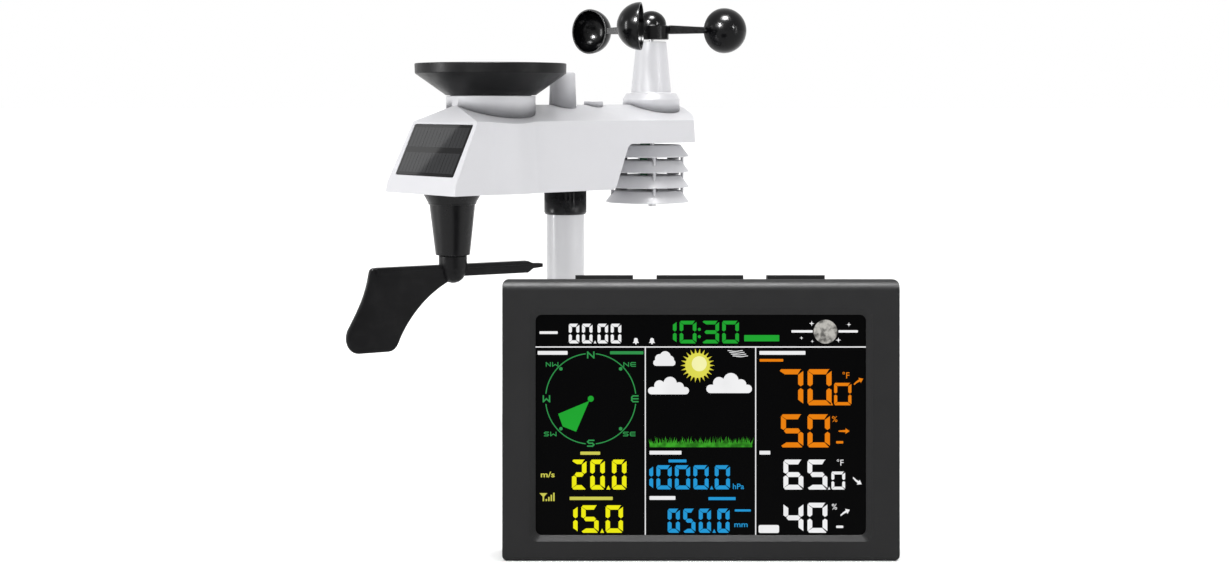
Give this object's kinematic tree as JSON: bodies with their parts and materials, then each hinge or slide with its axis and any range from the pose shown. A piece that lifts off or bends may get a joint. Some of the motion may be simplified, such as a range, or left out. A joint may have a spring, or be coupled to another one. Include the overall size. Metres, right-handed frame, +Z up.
{
  "type": "home weather station",
  "caption": "Outdoor sensor array with wind rotor, vane, rain funnel and solar panel on a mast, with its tabletop colour-display console.",
  "frame": {"origin": "centre of the mast foot's underside, on the table", "axes": "+Z up along the mast; the console stands towards -Y and faces -Y; the array's long axis is turned 41 degrees from +X about +Z"},
  "size_m": [0.3057, 0.4533, 0.2854],
  "materials": {
    "white_plastic": "satin moulded, slightly weathered UV-stable plastic",
    "shade_plastic": "satin moulded light grey plastic",
    "black_plastic": "satin black moulded plastic",
    "gloss_black": "polished black moulded plastic",
    "charcoal_plastic": "fine-textured charcoal plastic",
    "screen": "gloss black display window",
    "silicon": "epoxy-coated solar cells",
    "steel": "machined steel",
    "pole_paint": "powder-coated tube",
    "circuit_board": "solder-masked circuit board",
    "cell_wrap": "printed battery wrap, unmarked",
    "level_liquid": "tinted spirit level fluid in a clear vial"
  },
  "bodies": {
    "mast": {"mast_foot": "black_plastic", "mast_pole": "pole_paint"},
    "array": {"upper_housing": "white_plastic", "lower_housing": "white_plastic", "solar_panel": "silicon", "rain_barrel": "white_plastic", "antenna_cover": "white_plastic", "antenna_rod": "steel", "level_ring": "white_plastic", "level_vial": "level_liquid", "anemometer_tower": "white_plastic", "rotor_bearing": "steel", "vane_cone": "gloss_black", "vane_bearing": "steel", "mast_socket": "black_plastic", "socket_screw": "steel", "climate_sensor": "circuit_board", "main_board": "circuit_board", "battery_box": "black_plastic", "aa_battery_1": "cell_wrap", "aa_battery_2": "cell_wrap", "bucket_cradle": "shade_plastic", "rain_reed_switch": "steel", "louver_1": "shade_plastic", "louver_2": "shade_plastic", "louver_3": "shade_plastic", "louver_4": "shade_plastic", "shield_screw_1": "steel", "shield_screw_2": "steel"},
    "rotor": {"rotor_hub": "gloss_black", "rotor_shaft": "steel", "rotor_magnet": "steel", "wind_cup_1": "gloss_black", "wind_cup_2": "gloss_black", "wind_cup_3": "gloss_black"},
    "vane": {"wind_vane": "black_plastic", "vane_shaft": "steel", "vane_magnet": "steel"},
    "bucket": {"tipping_bucket": "black_plastic", "bucket_axle": "steel", "bucket_magnet": "steel"},
    "funnel": {"rain_funnel": "black_plastic", "funnel_screen": "black_plastic"},
    "array_door": {"battery_door": "white_plastic"},
    "reset_key": {"reset_button": "shade_plastic"},
    "console": {"console_front": "charcoal_plastic", "console_back": "charcoal_plastic", "lcd_window": "screen", "lcd_panel": "shade_plastic", "console_board": "circuit_board", "dc_inlet": "black_plastic", "aaa_battery_1": "cell_wrap", "aaa_battery_2": "cell_wrap"},
    "left_key": {"key_left": "charcoal_plastic"},
    "middle_key": {"key_middle": "charcoal_plastic"},
    "right_key": {"key_right": "charcoal_plastic"},
    "stand": {"console_stand": "charcoal_plastic"},
    "console_cover": {"console_battery_cover": "charcoal_plastic"}
  },
  "joints": [
    {"name": "array_turn", "type": "hinge", "parent": "mast", "child": "array", "pos_m": [0, 0, 0.1525], "axis": [0, 0, 1], "continuous": true},
    {"name": "rotor_spin", "type": "hinge", "parent": "array", "child": "rotor", "pos_m": [0.05887, 0.05117, 0.258], "axis": [0, 0, 1], "continuous": true},
    {"name": "vane_swivel", "type": "hinge", "parent": "array", "child": "vane", "pos_m": [-0.07049, -0.06128, 0.126], "axis": [0, 0, 1], "continuous": true},
    {"name": "bucket_tip", "type": "hinge", "parent": "array", "child": "bucket", "pos_m": [-0.04679, -0.04068, 0.19], "axis": [-0.6561, 0.7547, 0], "range_deg": [-24, 0]},
    {"name": "funnel_lift", "type": "slide", "parent": "array", "child": "funnel", "axis": [0, 0, 1], "range_m": [0, 0.045]},
    {"name": "array_door_slide", "type": "slide", "parent": "array", "child": "array_door", "axis": [0, 0, -1], "range_m": [0, 0.025]},
    {"name": "reset_press", "type": "slide", "parent": "array", "child": "reset_key", "axis": [0, 0, 1], "range_m": [0, 0.001], "stiffness_N_per_m": 250, "springref_m": -0.001},
    {"name": "console_lift", "type": "slide", "parent": "mast", "child": "console", "axis": [0, 0, 1], "range_m": [0, 0.12]},
    {"name": "left_key_press", "type": "slide", "parent": "console", "child": "left_key", "axis": [0, -0.1045, -0.9945], "range_m": [0, 0.001], "stiffness_N_per_m": 250, "springref_m": -0.001},
    {"name": "middle_key_press", "type": "slide", "parent": "console", "child": "middle_key", "axis": [0, -0.1045, -0.9945], "range_m": [0, 0.001], "stiffness_N_per_m": 250, "springref_m": -0.001},
    {"name": "right_key_press", "type": "slide", "parent": "console", "child": "right_key", "axis": [0, -0.1045, -0.9945], "range_m": [0, 0.001], "stiffness_N_per_m": 250, "springref_m": -0.001},
    {"name": "stand_fold", "type": "hinge", "parent": "console", "child": "stand", "pos_m": [0.0747, -0.32747, 0.00952], "axis": [1, 0, 0], "range_deg": [0, 94.9]},
    {"name": "console_cover_slide", "type": "slide", "parent": "console", "child": "console_cover", "axis": [0, 0.9945, -0.1045], "range_m": [0, 0.02]}
  ]
}
